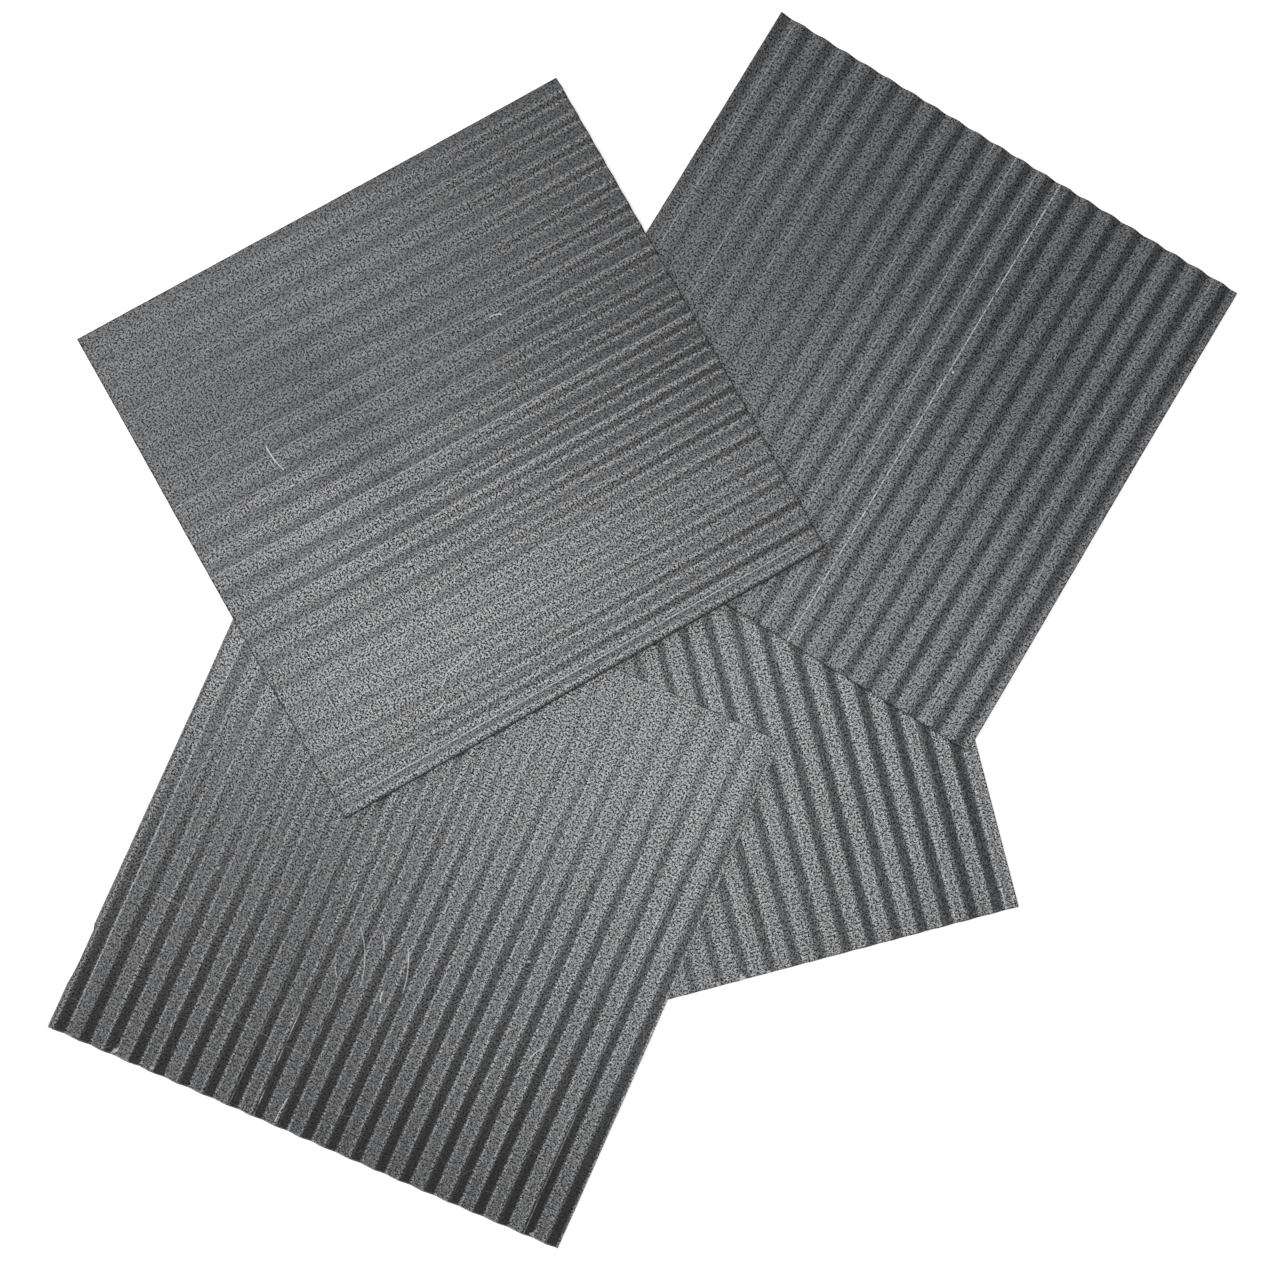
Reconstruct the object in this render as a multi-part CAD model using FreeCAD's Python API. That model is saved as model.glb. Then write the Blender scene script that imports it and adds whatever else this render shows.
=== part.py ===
import FreeCAD, Part
import math
import os

# Four ribbed traction mats lying in a pile on the floor.
# Millimetres and degrees.  +Z is up, the floor is z = 0, and the middle of the pile is the origin.
# Each mat is one bent sheet.  The bottom mat lies flat; the others sag over the mats under them.

os.makedirs("parts", exist_ok=True)

# ---- the sheet every mat is cut from
MAT_LENGTH = 330.0        # along the ribs
MAT_WIDTH = 330.0         # across the ribs
SHEET_THICKNESS = 1.8
RIB_PITCH = 15.9          # crest to crest
RIB_DEPTH = 2.4           # from the bottom of a valley to the top of a crest, on the same face
RIB_LAND = 1.2            # flat strip along each crest and each valley
RIB_BEND_RADIUS = 2.0     # to the middle of the sheet

# ---- how a mat lies on the ones under it
RESTING_GAP = 0.4         # air left between two mats where one bears on the other
SAG_LENGTH = 160.0        # run over which a mat comes down to the floor beside a lower mat
SAG_MARGIN = 5.0          # a mat stays fully raised this far past the edge of a lower mat
SAG_SHARPNESS = 12.0      # how closely a mat follows the highest of the mats under it

# ---- where each mat lies: the heading of its ribs from +X, the place of one point of it,
#      and the distance from its near edge to the middle of its first valley
BOTTOM_RIB_HEADING = 104.4
BOTTOM_MIDDLE_X = 19.7
BOTTOM_MIDDLE_Y = -54.1
BOTTOM_FIRST_VALLEY = 4.7

LEFT_RIB_HEADING = 66.1
LEFT_INNER_CORNER_X = 75.5
LEFT_INNER_CORNER_Y = -72.8
LEFT_FIRST_VALLEY = 7.8

RIGHT_RIB_HEADING = 58.85
RIGHT_INNER_CORNER_X = -93.1
RIGHT_INNER_CORNER_Y = 92.0
RIGHT_FIRST_VALLEY = 10.0

TOP_RIB_HEADING = 29.55
TOP_MIDDLE_X = -122.5
TOP_MIDDLE_Y = 106.5
TOP_FIRST_VALLEY = 6.0

# ---- which point of a mat is placed, as shares of its width and length from its middle
MIDDLE = (0.0, 0.0)
FAR_CORNER = (0.5, 0.5)
NEAR_CORNER = (-0.5, -0.5)

# ---- how finely a sagging mat is drawn
STATIONS_ALONG = 26       # points along each line of the ribs

# ---- sizes that follow from the ones above
SHEET_HEIGHT = RIB_DEPTH + SHEET_THICKNESS
STACK_RISE = SHEET_HEIGHT + RESTING_GAP
HALF_SHEET = SHEET_THICKNESS / 2.0
HALF_PITCH = RIB_PITCH / 2.0
HALF_LAND = RIB_LAND / 2.0
BEND_RUN = HALF_PITCH - RIB_LAND
BEND_DROP = RIB_DEPTH - 2.0 * RIB_BEND_RADIUS
FLANK_ANGLE = (math.atan2(BEND_DROP, BEND_RUN)
               + math.asin(2.0 * RIB_BEND_RADIUS / math.hypot(BEND_RUN, BEND_DROP)))

LOWER = -1
UPPER = 1


class Face:
    """The cross-section of one face of the sheet, LOWER or UPPER, measured from a valley."""

    def __init__(self, side):
        self.valley_radius = RIB_BEND_RADIUS - side * HALF_SHEET
        self.crest_radius = RIB_BEND_RADIUS + side * HALF_SHEET
        self.valley_height = HALF_SHEET + side * HALF_SHEET
        self.crest_height = self.valley_height + RIB_DEPTH
        self.valley_bend_end = HALF_LAND + self.valley_radius * math.sin(FLANK_ANGLE)
        self.crest_bend_start = HALF_PITCH - HALF_LAND - self.crest_radius * math.sin(FLANK_ANGLE)

    def height(self, across):
        """Height over the floor and slope of the face, `across` mm from a valley's middle."""
        offset = across - RIB_PITCH * round(across / RIB_PITCH)
        rising = 1.0 if offset >= 0.0 else -1.0
        run = abs(offset)
        to_crest = HALF_PITCH - HALF_LAND - run
        if run <= HALF_LAND:
            return self.valley_height, 0.0
        if to_crest <= 0.0:
            return self.crest_height, 0.0
        if run <= self.valley_bend_end:
            sine = (run - HALF_LAND) / self.valley_radius
            cosine = math.sqrt(1.0 - sine * sine)
            return self.valley_height + self.valley_radius * (1.0 - cosine), rising * sine / cosine
        if run >= self.crest_bend_start:
            sine = to_crest / self.crest_radius
            cosine = math.sqrt(1.0 - sine * sine)
            return self.crest_height - self.crest_radius * (1.0 - cosine), rising * sine / cosine
        bend_rise = self.valley_radius * (1.0 - math.cos(FLANK_ANGLE))
        flank_rise = (run - self.valley_bend_end) * math.tan(FLANK_ANGLE)
        return self.valley_height + bend_rise + flank_rise, rising * math.tan(FLANK_ANGLE)

    def strips(self, start, end):
        """Flat and bent strips between two distances from a valley: (from, to, bent)."""
        marks = []
        for rib in range(int(start // RIB_PITCH) - 1, int(end // RIB_PITCH) + 2):
            valley = rib * RIB_PITCH
            marks.append((valley + HALF_LAND, True))
            marks.append((valley + self.valley_bend_end, False))
            marks.append((valley + self.crest_bend_start, True))
            marks.append((valley + HALF_PITCH - HALF_LAND, False))
            marks.append((valley + HALF_PITCH + HALF_LAND, True))
            marks.append((valley + RIB_PITCH - self.crest_bend_start, False))
            marks.append((valley + RIB_PITCH - self.valley_bend_end, True))
            marks.append((valley + RIB_PITCH - HALF_LAND, False))
        strips = []
        for (near, bent), (far, _) in zip(marks, marks[1:]):
            near = max(near, start)
            far = min(far, end)
            if far - near > 0.001:
                strips.append((near, far, bent))
        return strips

    def outline(self, near, far, bent):
        """Control points across one strip: its two edges, with the meeting of their slopes between."""
        near_height, near_slope = self.height(near)
        far_height, far_slope = self.height(far)
        if not bent:
            return [(near, near_height), (far, far_height)]
        gap = far - near
        step = (far_height - near_height - far_slope * gap) / (near_slope - far_slope)
        return [(near, near_height), (near + step, near_height + near_slope * step), (far, far_height)]


class Mat:
    """One mat: a square of ribbed sheet, where it lies, and the mats under it."""

    def __init__(self, node, heading, placed, x, y, first_valley, mats_below):
        self.node = node
        self.first_valley = first_valley
        self.mats_below = mats_below
        angle = math.radians(heading)
        self.along = (math.cos(angle), math.sin(angle))
        self.across = (math.sin(angle), -math.cos(angle))
        across = placed[0] * MAT_WIDTH
        along = placed[1] * MAT_LENGTH
        self.x = x - across * self.across[0] - along * self.along[0]
        self.y = y - across * self.across[1] - along * self.along[1]

    def outside(self, x, y):
        """Distance from a point in the pile to the mat's outline, 0 inside it."""
        dx = x - self.x
        dy = y - self.y
        across = abs(dx * self.across[0] + dy * self.across[1]) - MAT_WIDTH / 2.0
        along = abs(dx * self.along[0] + dy * self.along[1]) - MAT_LENGTH / 2.0
        return math.hypot(max(across, 0.0), max(along, 0.0))

    def lift(self, x, y):
        """Height of the mat's valleys over the floor at a point in the pile."""
        total = 0.0
        for mat in self.mats_below:
            past_edge = (mat.outside(x, y) - SAG_MARGIN) / SAG_LENGTH
            past_edge = min(max(past_edge, 0.0), 1.0)
            share = 1.0 - past_edge ** 3 * (10.0 - 15.0 * past_edge + 6.0 * past_edge ** 2)
            total += ((mat.lift(x, y) + STACK_RISE) * share) ** SAG_SHARPNESS
        return total ** (1.0 / SAG_SHARPNESS)

    def point(self, from_valley, along, height):
        """Point in the pile at a distance from the first valley, one along the ribs and a height."""
        across = from_valley + self.first_valley - MAT_WIDTH / 2.0
        x = self.x + across * self.across[0] + along * self.along[0]
        y = self.y + across * self.across[1] + along * self.along[1]
        return FreeCAD.Vector(x, y, height + self.lift(x, y))


def flat_mat(mat):
    """A mat lying flat on the floor: one straight bent sheet, whose ends are cut square."""
    start = -mat.first_valley
    end = MAT_WIDTH - mat.first_valley
    edges = []
    corners = []
    for side in (LOWER, UPPER):
        face = Face(side)
        for near, far, bent in face.strips(start, end):
            ends = [mat.point(x, -MAT_LENGTH / 2.0, face.height(x)[0]) for x in (near, far)]
            if bent:
                middle = (near + far) / 2.0
                bend = mat.point(middle, -MAT_LENGTH / 2.0, face.height(middle)[0])
                edges.append(Part.Arc(ends[0], bend, ends[1]).toShape())
            else:
                edges.append(Part.LineSegment(ends[0], ends[1]).toShape())
        corners.append([mat.point(x, -MAT_LENGTH / 2.0, face.height(x)[0]) for x in (start, end)])
    for low, high in zip(corners[0], corners[1]):
        edges.append(Part.LineSegment(low, high).toShape())
    section = Part.Face(Part.Wire(Part.__sortEdges__(edges)))
    return section.extrude(FreeCAD.Vector(mat.along[0], mat.along[1], 0.0) * MAT_LENGTH)


def sagging_line(mat, from_valley, height, stations):
    """Curve along a mat at one place on its section, rising and falling with the mats below."""
    points = [mat.point(from_valley, along, height) for along in stations]
    curve = Part.BSplineCurve()
    curve.interpolate(Points=points, Parameters=stations)
    return curve


def sagging_mat(mat):
    """A mat lying over others: the flat mat's section, carried along lines that sag."""
    start = -mat.first_valley
    end = MAT_WIDTH - mat.first_valley
    stations = [MAT_LENGTH * (step / (STATIONS_ALONG - 1.0) - 0.5) for step in range(STATIONS_ALONG)]
    skins = []
    rims = ([], [])
    sides = ([], [])
    for side in (LOWER, UPPER):
        face = Face(side)
        for near, far, bent in face.strips(start, end):
            outline = face.outline(near, far, bent)
            lines = [sagging_line(mat, x, height, stations) for x, height in outline]
            degree = len(outline) - 1
            strip = Part.BSplineSurface()
            strip.buildFromPolesMultsKnots(
                [line.getPoles() for line in lines],
                [degree + 1, degree + 1], lines[0].getMultiplicities(),
                [0.0, 1.0], lines[0].getKnots(),
                False, False, degree, 3)
            skins.append(strip.toShape())
            rims[0].append(strip.vIso(stations[0]).toShape())
            rims[1].append(strip.vIso(stations[-1]).toShape())
            if near == start:
                sides[0].append(lines[0].toShape())
            if far == end:
                sides[1].append(lines[-1].toShape())
    for rim, along in zip(rims, (stations[0], stations[-1])):
        for x in (start, end):
            low = mat.point(x, along, Face(LOWER).height(x)[0])
            high = mat.point(x, along, Face(UPPER).height(x)[0])
            rim.append(Part.LineSegment(low, high).toShape())
        skins.append(Part.Face(Part.Wire(Part.__sortEdges__(rim))))
    for low, high in sides:
        skins.append(Part.makeRuledSurface(low, high))
    shell = Part.makeShell(skins)
    shell.sewShape()
    solid = Part.makeSolid(Part.Shell(shell.Faces))
    if solid.Volume < 0.0:
        solid.reverse()
    return solid


bottom = Mat("bottom_mat", BOTTOM_RIB_HEADING, MIDDLE, BOTTOM_MIDDLE_X, BOTTOM_MIDDLE_Y,
             BOTTOM_FIRST_VALLEY, [])
left = Mat("left_mat", LEFT_RIB_HEADING, FAR_CORNER, LEFT_INNER_CORNER_X, LEFT_INNER_CORNER_Y,
           LEFT_FIRST_VALLEY, [bottom])
right = Mat("right_mat", RIGHT_RIB_HEADING, NEAR_CORNER, RIGHT_INNER_CORNER_X, RIGHT_INNER_CORNER_Y,
            RIGHT_FIRST_VALLEY, [bottom])
top = Mat("top_mat", TOP_RIB_HEADING, MIDDLE, TOP_MIDDLE_X, TOP_MIDDLE_Y,
          TOP_FIRST_VALLEY, [bottom, left, right])

shapes = {bottom.node: flat_mat(bottom)}
for mat in (left, right, top):
    shapes[mat.node] = sagging_mat(mat)

# put the middle of the pile over the origin
pile = FreeCAD.BoundBox()
for shape in shapes.values():
    pile.add(shape.optimalBoundingBox(False, False))
for node, shape in shapes.items():
    shape.translate(FreeCAD.Vector(-pile.Center.x, -pile.Center.y, 0.0))
    shape.exportStep("parts/" + node + ".step")
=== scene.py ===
"""Ribbed traction mats, fanned out in a loose pile on a pale floor."""

import enum
import logging
import math
from dataclasses import dataclass, field
from typing import Any, Optional, Union

import bpy
import numpy as np
from mathutils import Matrix, Vector


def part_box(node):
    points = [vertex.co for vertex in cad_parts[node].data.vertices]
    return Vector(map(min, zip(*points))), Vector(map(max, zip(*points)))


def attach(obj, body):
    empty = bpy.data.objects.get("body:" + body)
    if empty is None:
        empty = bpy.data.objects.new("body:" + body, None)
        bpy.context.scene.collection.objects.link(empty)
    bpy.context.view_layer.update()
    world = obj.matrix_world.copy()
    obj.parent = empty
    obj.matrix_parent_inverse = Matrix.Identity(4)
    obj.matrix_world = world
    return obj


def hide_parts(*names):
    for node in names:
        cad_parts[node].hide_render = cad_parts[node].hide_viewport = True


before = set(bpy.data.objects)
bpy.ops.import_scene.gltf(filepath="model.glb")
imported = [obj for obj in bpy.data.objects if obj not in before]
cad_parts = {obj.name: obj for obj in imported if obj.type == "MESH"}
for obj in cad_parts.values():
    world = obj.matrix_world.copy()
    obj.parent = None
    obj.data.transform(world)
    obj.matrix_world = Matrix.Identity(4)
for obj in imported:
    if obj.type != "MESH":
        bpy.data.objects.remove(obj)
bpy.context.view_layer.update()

MM = 0.001
LOG = logging.getLogger("traction_mats")

FULL_TURN = 2 * math.pi
RIB_SLOTS = 64
FOLD_PATCHES = 4096
UV_UNIT = 100.0
WHITE = (1.0, 1.0, 1.0, 1.0)


# --------------------------------------------------------------------------------------
# the sheet and the mats
# --------------------------------------------------------------------------------------


class Skin(enum.Enum):
    """The two faces of the sheet, with the side of the sheet's middle that each is on."""

    LOWER = -1
    UPPER = 1


@dataclass(frozen=True)
class RibSection:
    """The cross-section of the ribbed sheet, in metres."""

    pitch: float = 15.9 * MM
    depth: float = 2.4 * MM
    land: float = 1.2 * MM
    bend_radius: float = 2.0 * MM
    thickness: float = 1.8 * MM
    least_step: float = 0.3 * MM

    def flank_angle(self) -> float:
        """Slope of the straight part between a valley's bend and a crest's bend.

        Returns:
            The angle to the flat, in radians.
        """
        run = self.pitch / 2 - self.land
        drop = self.depth - 2 * self.bend_radius
        return math.atan2(drop, run) + math.asin(2 * self.bend_radius / math.hypot(run, drop))

    @staticmethod
    def bend_height(radius: float, away: np.ndarray) -> np.ndarray:
        """Height of a round bend over its lowest point, at distances away from that point."""
        return radius - np.sqrt(np.maximum(radius**2 - away**2, 0))

    def rise(self, skin: Skin, from_valley: np.ndarray, softness: float = 0.0) -> np.ndarray:
        """Height of one face over its own valleys.

        Args:
            skin: The face of the sheet.
            from_valley: Distances across the ribs from the middle of a valley.
            softness: 0 for crisp bends and straight flanks, 1 for one even wave.

        Returns:
            Heights from 0 in the valleys to the rib depth on the crests.
        """
        angle = self.flank_angle()
        half_land = self.land / 2
        valley_radius = self.bend_radius - skin.value * self.thickness / 2
        crest_radius = self.bend_radius + skin.value * self.thickness / 2
        run = np.abs(from_valley - self.pitch * np.round(from_valley / self.pitch)) - half_land
        left = self.pitch / 2 - self.land - run
        valley_reach = valley_radius * math.sin(angle)
        crest_reach = crest_radius * math.sin(angle)
        in_valley = self.bend_height(valley_radius, np.clip(run, 0, valley_reach))
        on_crest = self.bend_height(crest_radius, np.clip(left, 0, crest_reach))
        flank = valley_radius * (1 - math.cos(angle)) + (run - valley_reach) * math.tan(angle)
        height = np.where(run <= valley_reach, in_valley, flank)
        crisp = np.where(left <= crest_reach, self.depth - on_crest, height)
        wave = self.depth * (0.5 - 0.5 * np.cos(2 * math.pi * from_valley / self.pitch))
        return crisp + (wave - crisp) * softness

    def stations(self, start: float, end: float) -> np.ndarray:
        """Where the section is sampled, close together in the bends.

        Args:
            start: Where the sheet starts, from the first valley.
            end: Where it ends.

        Returns:
            Distances from the first valley, in order.
        """
        angle = self.flank_angle()
        sharp = (self.bend_radius - self.thickness / 2) * math.sin(angle)
        wide = (self.bend_radius + self.thickness / 2) * math.sin(angle)
        land = self.land / 2
        quarter = self.pitch / 4
        bend = [land, land + sharp / 2, land + sharp, land + wide, (land + wide + quarter) / 2]
        rising = [0.0] + bend + [quarter] + [2 * quarter - value for value in bend[::-1]]
        rib = np.array(rising + [self.pitch - value for value in ([2 * quarter] + rising[:0:-1])])
        first, last = math.floor(start / self.pitch) - 1, math.ceil(end / self.pitch) + 1
        marks = np.concatenate([rib + count * self.pitch for count in range(first, last)])
        inside = marks[(marks > start + self.least_step) & (marks < end - self.least_step)]
        return np.concatenate([[start], inside, [end]])


@dataclass(frozen=True)
class Bite:
    """A nick or torn place in a cut edge: where it is along the edge, how long and how deep."""

    at: float
    length: float
    depth: float


@dataclass(frozen=True)
class Scratch:
    """A pale curved scratch, as an arc between two points of the sheet, in millimetres."""

    start: tuple[float, float]
    end: tuple[float, float]
    bulge: float = 1.0
    width: float = 0.4
    strength: float = 0.6

    def arc(self) -> tuple[float, float, float, float, float, float]:
        """The scratch as part of a circle.

        Returns:
            The circle's centre and radius, the direction from the centre to the middle of the
            arc, and the cosine of the arc's half angle.
        """
        start, end = np.array(self.start), np.array(self.end)
        chord = end - start
        length = float(np.hypot(*chord))
        radius = (length**2 / 4 + self.bulge**2) / (2 * abs(self.bulge))
        normal = np.array([-chord[1], chord[0]]) / length * math.copysign(1.0, self.bulge)
        centre = (start + end) / 2 - normal * (radius - abs(self.bulge))
        half_angle = math.asin(min(1.0, length / 2 / radius))
        reach = math.cos(half_angle)
        return float(centre[0]), float(centre[1]), radius, float(normal[0]), float(normal[1]), reach


@dataclass(frozen=True)
class PaleSpot:
    """A pale chip in the sheet's face, in millimetres."""

    across: float
    along: float
    radius: float
    strength: float = 0.8


@dataclass(frozen=True)
class FoldLine:
    """A pale line along a valley: the rib it belongs to, and how strongly it shows."""

    rib: int
    strength: float
    broken: float = 0.0
    start: float = -1.0
    end: float = 1.0


@dataclass(frozen=True)
class MatWear:
    """What tells one mat's surface from the next: folds, scratches, chips and bites.

    The two relief tuples run across the mat, at the near and the far end of its ribs, and
    relief_bend says how late along the ribs the second takes over. The flank shade is painted
    shade, a dark tone on the falling side of each rib. Below 0, the rim tone paints a shadow
    line along the cut edges; above 0 it makes them paler. Scratches and spots are placed from
    the mat's near corner, across and then along its ribs.
    """

    seed: int
    fold_lines: tuple[FoldLine, ...] = ()
    stray_fold_strength: float = 0.15
    scratches: tuple[Scratch, ...] = ()
    spots: tuple[PaleSpot, ...] = ()
    near_edge_bites: tuple[Bite, ...] = ()
    far_edge_bites: tuple[Bite, ...] = ()
    relief_at_start: tuple[float, ...] = (1.0, 1.0)
    relief_at_end: tuple[float, ...] = (1.0, 1.0)
    relief_bend: float = 1.0
    softness: float = 0.0
    # Painted shade on the falling rib flanks, towards the near and the far end of the ribs.
    flank_shade_at_start: float = 0.0
    flank_shade_at_end: float = 0.0
    flank_shade_reach: float = 0.26
    flank_shade_start: float = -60.0
    # Painted shadow line along the cut edges when below 0; paler cut edges when above 0.
    rim_shadow_and_pale_tone: float = -0.5
    rib_shift: float = 0.0
    fold_shift: float = 0.0
    uneven_ribs: float = 0.12
    coarseness: float = 1.0
    shine_grain: float = 0.9
    pits: float = 0.2
    greyness: float = 0.44

    def relief(self, rib: np.ndarray, across_share: np.ndarray, along_share: np.ndarray) -> np.ndarray:
        """How much of the full rib depth is left where the sheet has been pressed flatter.

        Args:
            rib: Number of the nearest valley.
            across_share: Places across the mat, from 0 to 1.
            along_share: Places along the ribs, from 0 to 1.

        Returns:
            Factors from 0 to 1.
        """
        stops = np.linspace(0, 1, len(self.relief_at_start))
        start = np.interp(across_share, stops, self.relief_at_start)
        end = np.interp(across_share, stops, self.relief_at_end)
        own = np.random.default_rng(self.seed + 500).uniform(-1, 0, RIB_SLOTS)[rib.astype(int) % RIB_SLOTS]
        share = np.clip(along_share, 0, 1) ** self.relief_bend
        return np.clip((start + (end - start) * share) * (1 + self.uneven_ribs * own), 0, 1)


@dataclass
class TractionMat:
    """One square mat of ribbed sheet, lying in the pile. Lengths are in metres."""

    node: str
    body: str
    rib_heading: float
    first_valley: float
    wear: MatWear
    below: list["TractionMat"] = field(default_factory=list)
    section: RibSection = RibSection()
    width: float = 330 * MM
    length: float = 330 * MM
    resting_gap: float = 0.4 * MM
    sag_length: float = 160 * MM
    sag_margin: float = 5 * MM
    sag_sharpness: float = 12.0
    rows: int = 96
    chamfer: float = 0.25 * MM
    chamfer_reach: float = 4 * MM
    warp: float = 0.12 * MM
    broad_wave: tuple[float, float] = (71 * MM, 52 * MM)
    narrow_wave: tuple[float, float] = (23 * MM, 60 * MM)
    fine_wave: tuple[float, float] = (12 * MM, 35 * MM)
    rough_cut: float = 0.12 * MM
    rough_reach: float = 5 * MM
    below_cad_top: float = 0.01 * MM
    fold_patch: float = 2.6 * MM
    broken_fold_tone: float = 0.15
    edge_reach: float = 3 * MM
    crease_angle: float = math.radians(40)

    def __post_init__(self) -> None:
        """Finds the mat's middle and directions from its place in the frame."""
        low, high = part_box(self.node)
        self.middle = np.array([(low[0] + high[0]) / 2, (low[1] + high[1]) / 2])
        self.top = high[2] - self.below_cad_top
        heading = math.radians(self.rib_heading)
        self.along = np.array([math.cos(heading), math.sin(heading)])
        self.across = np.array([math.sin(heading), -math.cos(heading)])

    def outside(self, places: np.ndarray) -> np.ndarray:
        """Distance from places in the pile to the mat's outline.

        Args:
            places: Places in the pile, as an array of x and y.

        Returns:
            One distance for each place, 0 inside the outline.
        """
        offset = places - self.middle
        across = np.maximum(np.abs(offset @ self.across) - self.width / 2, 0)
        along = np.maximum(np.abs(offset @ self.along) - self.length / 2, 0)
        return np.hypot(across, along)

    def lift(self, places: np.ndarray) -> np.ndarray:
        """Height of the mat's valleys over the floor, where it sags over the mats below it.

        Args:
            places: Places in the pile, as an array of x and y.

        Returns:
            One height for each place.
        """
        total = np.zeros(places.shape[:-1])
        step = self.section.depth + self.section.thickness + self.resting_gap
        for mat in self.below:
            past = np.clip((mat.outside(places) - self.sag_margin) / self.sag_length, 0, 1)
            share = 1 - past**3 * (10 - 15 * past + 6 * past**2)
            total += ((mat.lift(places) + step) / MM * share) ** self.sag_sharpness
        return total ** (1 / self.sag_sharpness) * MM

    def unevenness(self, across: np.ndarray, along: np.ndarray) -> np.ndarray:
        """Slow rise and fall of a sheet that isn't quite flat, never below its nominal place.

        Args:
            across: Distances across the ribs.
            along: Distances along the ribs.

        Returns:
            One height for each place.
        """
        phase = np.random.default_rng(self.wear.seed).uniform(0, FULL_TURN, 6)
        broad, narrow, fine = self.broad_wave, self.narrow_wave, self.fine_wave
        wave = np.sin(across / broad[0] + phase[0]) * np.sin(along / broad[1] + phase[1])
        bend = 0.7 * np.sin(along / narrow[1] + phase[3])
        wave += 0.6 * np.sin(across / narrow[0] + phase[2] + bend)
        wave += 0.4 * np.sin(across / fine[0] + phase[4]) * np.sin(along / fine[1] + phase[5])
        return self.warp * (0.5 + wave / 4.0)

    def bitten(self, along: np.ndarray, bites: tuple[Bite, ...], seed: int) -> np.ndarray:
        """How far a cut edge lies inside its nominal line.

        Args:
            along: Distances along the edge.
            bites: The edge's nicks.
            seed: Tells the mat's four edges apart.

        Returns:
            One inset for each distance, from the rough cut and the bites.
        """
        rng = np.random.default_rng(self.wear.seed * 7 + seed)
        rough = np.abs(np.convolve(rng.normal(0, 1, along.size + 4), np.ones(5) / 5, "valid"))
        inset = self.rough_cut * rough
        for bite in bites:
            place = np.clip(1 - np.abs(along - bite.at) / (bite.length / 2), 0, 1)
            inset += bite.depth * np.minimum(1, 2.2 * place) * (0.75 + 0.25 * rough)
        return inset

    def grid(self) -> tuple[np.ndarray, np.ndarray]:
        """Places of the mesh's lines on the sheet, with rough edges.

        Returns:
            Distances across from the first valley, and distances along from the mat's middle.
        """
        start = -self.first_valley
        shift = self.wear.rib_shift
        across = self.section.stations(start - shift, start + self.width - shift) + shift
        along = np.linspace(-self.length / 2, self.length / 2, self.rows)
        grid_across, grid_along = np.meshgrid(across, along)
        near = self.bitten(along, self.wear.near_edge_bites, 1)[:, None]
        far = self.bitten(along, self.wear.far_edge_bites, 2)[:, None]
        grid_across = grid_across + near * self.nearness(grid_across - start)
        grid_across = grid_across - far * self.nearness(start + self.width - grid_across)
        first = self.bitten(across, (), 3)[None, :]
        last = self.bitten(across, (), 4)[None, :]
        grid_along = grid_along + first * self.nearness(grid_along + self.length / 2)
        grid_along = grid_along - last * self.nearness(self.length / 2 - grid_along)
        return grid_across, grid_along

    def nearness(self, from_edge: np.ndarray) -> np.ndarray:
        """1 on a cut edge, falling to 0 where its roughness ends."""
        return np.clip(1 - from_edge / self.rough_reach, 0, 1)

    def relief(self, across: np.ndarray, along: np.ndarray) -> np.ndarray:
        """How much of the full rib depth is left at places on the sheet.

        Args:
            across: Distances across the ribs from the first valley.
            along: Distances along the ribs from the mat's middle.

        Returns:
            Factors from 0 to 1.
        """
        rib = np.floor((across - self.wear.rib_shift) / self.section.pitch + 0.5)
        across_share = (across + self.first_valley) / self.width
        return self.wear.relief(rib, across_share, along / self.length + 0.5)

    def surface(self, skin: Skin, across: np.ndarray, along: np.ndarray, inset: float = 0.0) -> np.ndarray:
        """Points of one face of the sheet.

        Args:
            skin: The face of the sheet.
            across: Distances across the ribs from the first valley.
            along: Distances along the ribs from the mat's middle.
            inset: How far towards the sheet's middle the points lie.

        Returns:
            An array of points in the pile, in metres.
        """
        from_middle = across + self.first_valley - self.width / 2
        places = self.middle + from_middle[..., None] * self.across + along[..., None] * self.along
        ribs = self.section.rise(skin, across - self.wear.rib_shift, self.wear.softness)
        height = ribs * self.relief(across, along) + self.lift(places) + self.unevenness(across, along)
        if skin is Skin.UPPER:
            height = np.minimum(height + self.section.thickness, self.top)
        return np.concatenate([places, (height - skin.value * inset)[..., None]], axis=-1)

    @staticmethod
    def rim(values: np.ndarray) -> np.ndarray:
        """The values round a grid's outline, in order."""
        return np.concatenate([values[0, :-1], values[:-1, -1], values[-1, :0:-1], values[:0:-1, 0]])

    def build(self) -> bpy.types.Object:
        """Makes the mat's closed mesh: two faces, and cut edges with a small chamfer.

        Returns:
            The mat, on its body.
        """
        across, along = self.grid()
        rows, columns = across.shape
        half_wide, half_long = self.width / 2, self.length / 2
        centre = half_wide - self.first_valley
        shrink = 1 - self.chamfer / half_wide
        near_side = np.abs(across - centre) > half_wide - self.chamfer_reach
        near_end = np.abs(along) > half_long - self.chamfer_reach
        face_across = centre + (across - centre) * np.where(near_side, shrink, 1)
        face_along = along * np.where(near_end, 1 - self.chamfer / half_long, 1)
        upper = self.surface(Skin.UPPER, face_across, face_along).reshape(-1, 3)
        lower = self.surface(Skin.LOWER, face_across, face_along).reshape(-1, 3)
        rim_across, rim_along = self.rim(across), self.rim(along)
        upper_rim = self.surface(Skin.UPPER, rim_across, rim_along, self.chamfer)
        lower_rim = self.surface(Skin.LOWER, rim_across, rim_along, self.chamfer)
        points = np.concatenate([upper, lower, upper_rim, lower_rim])

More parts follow.
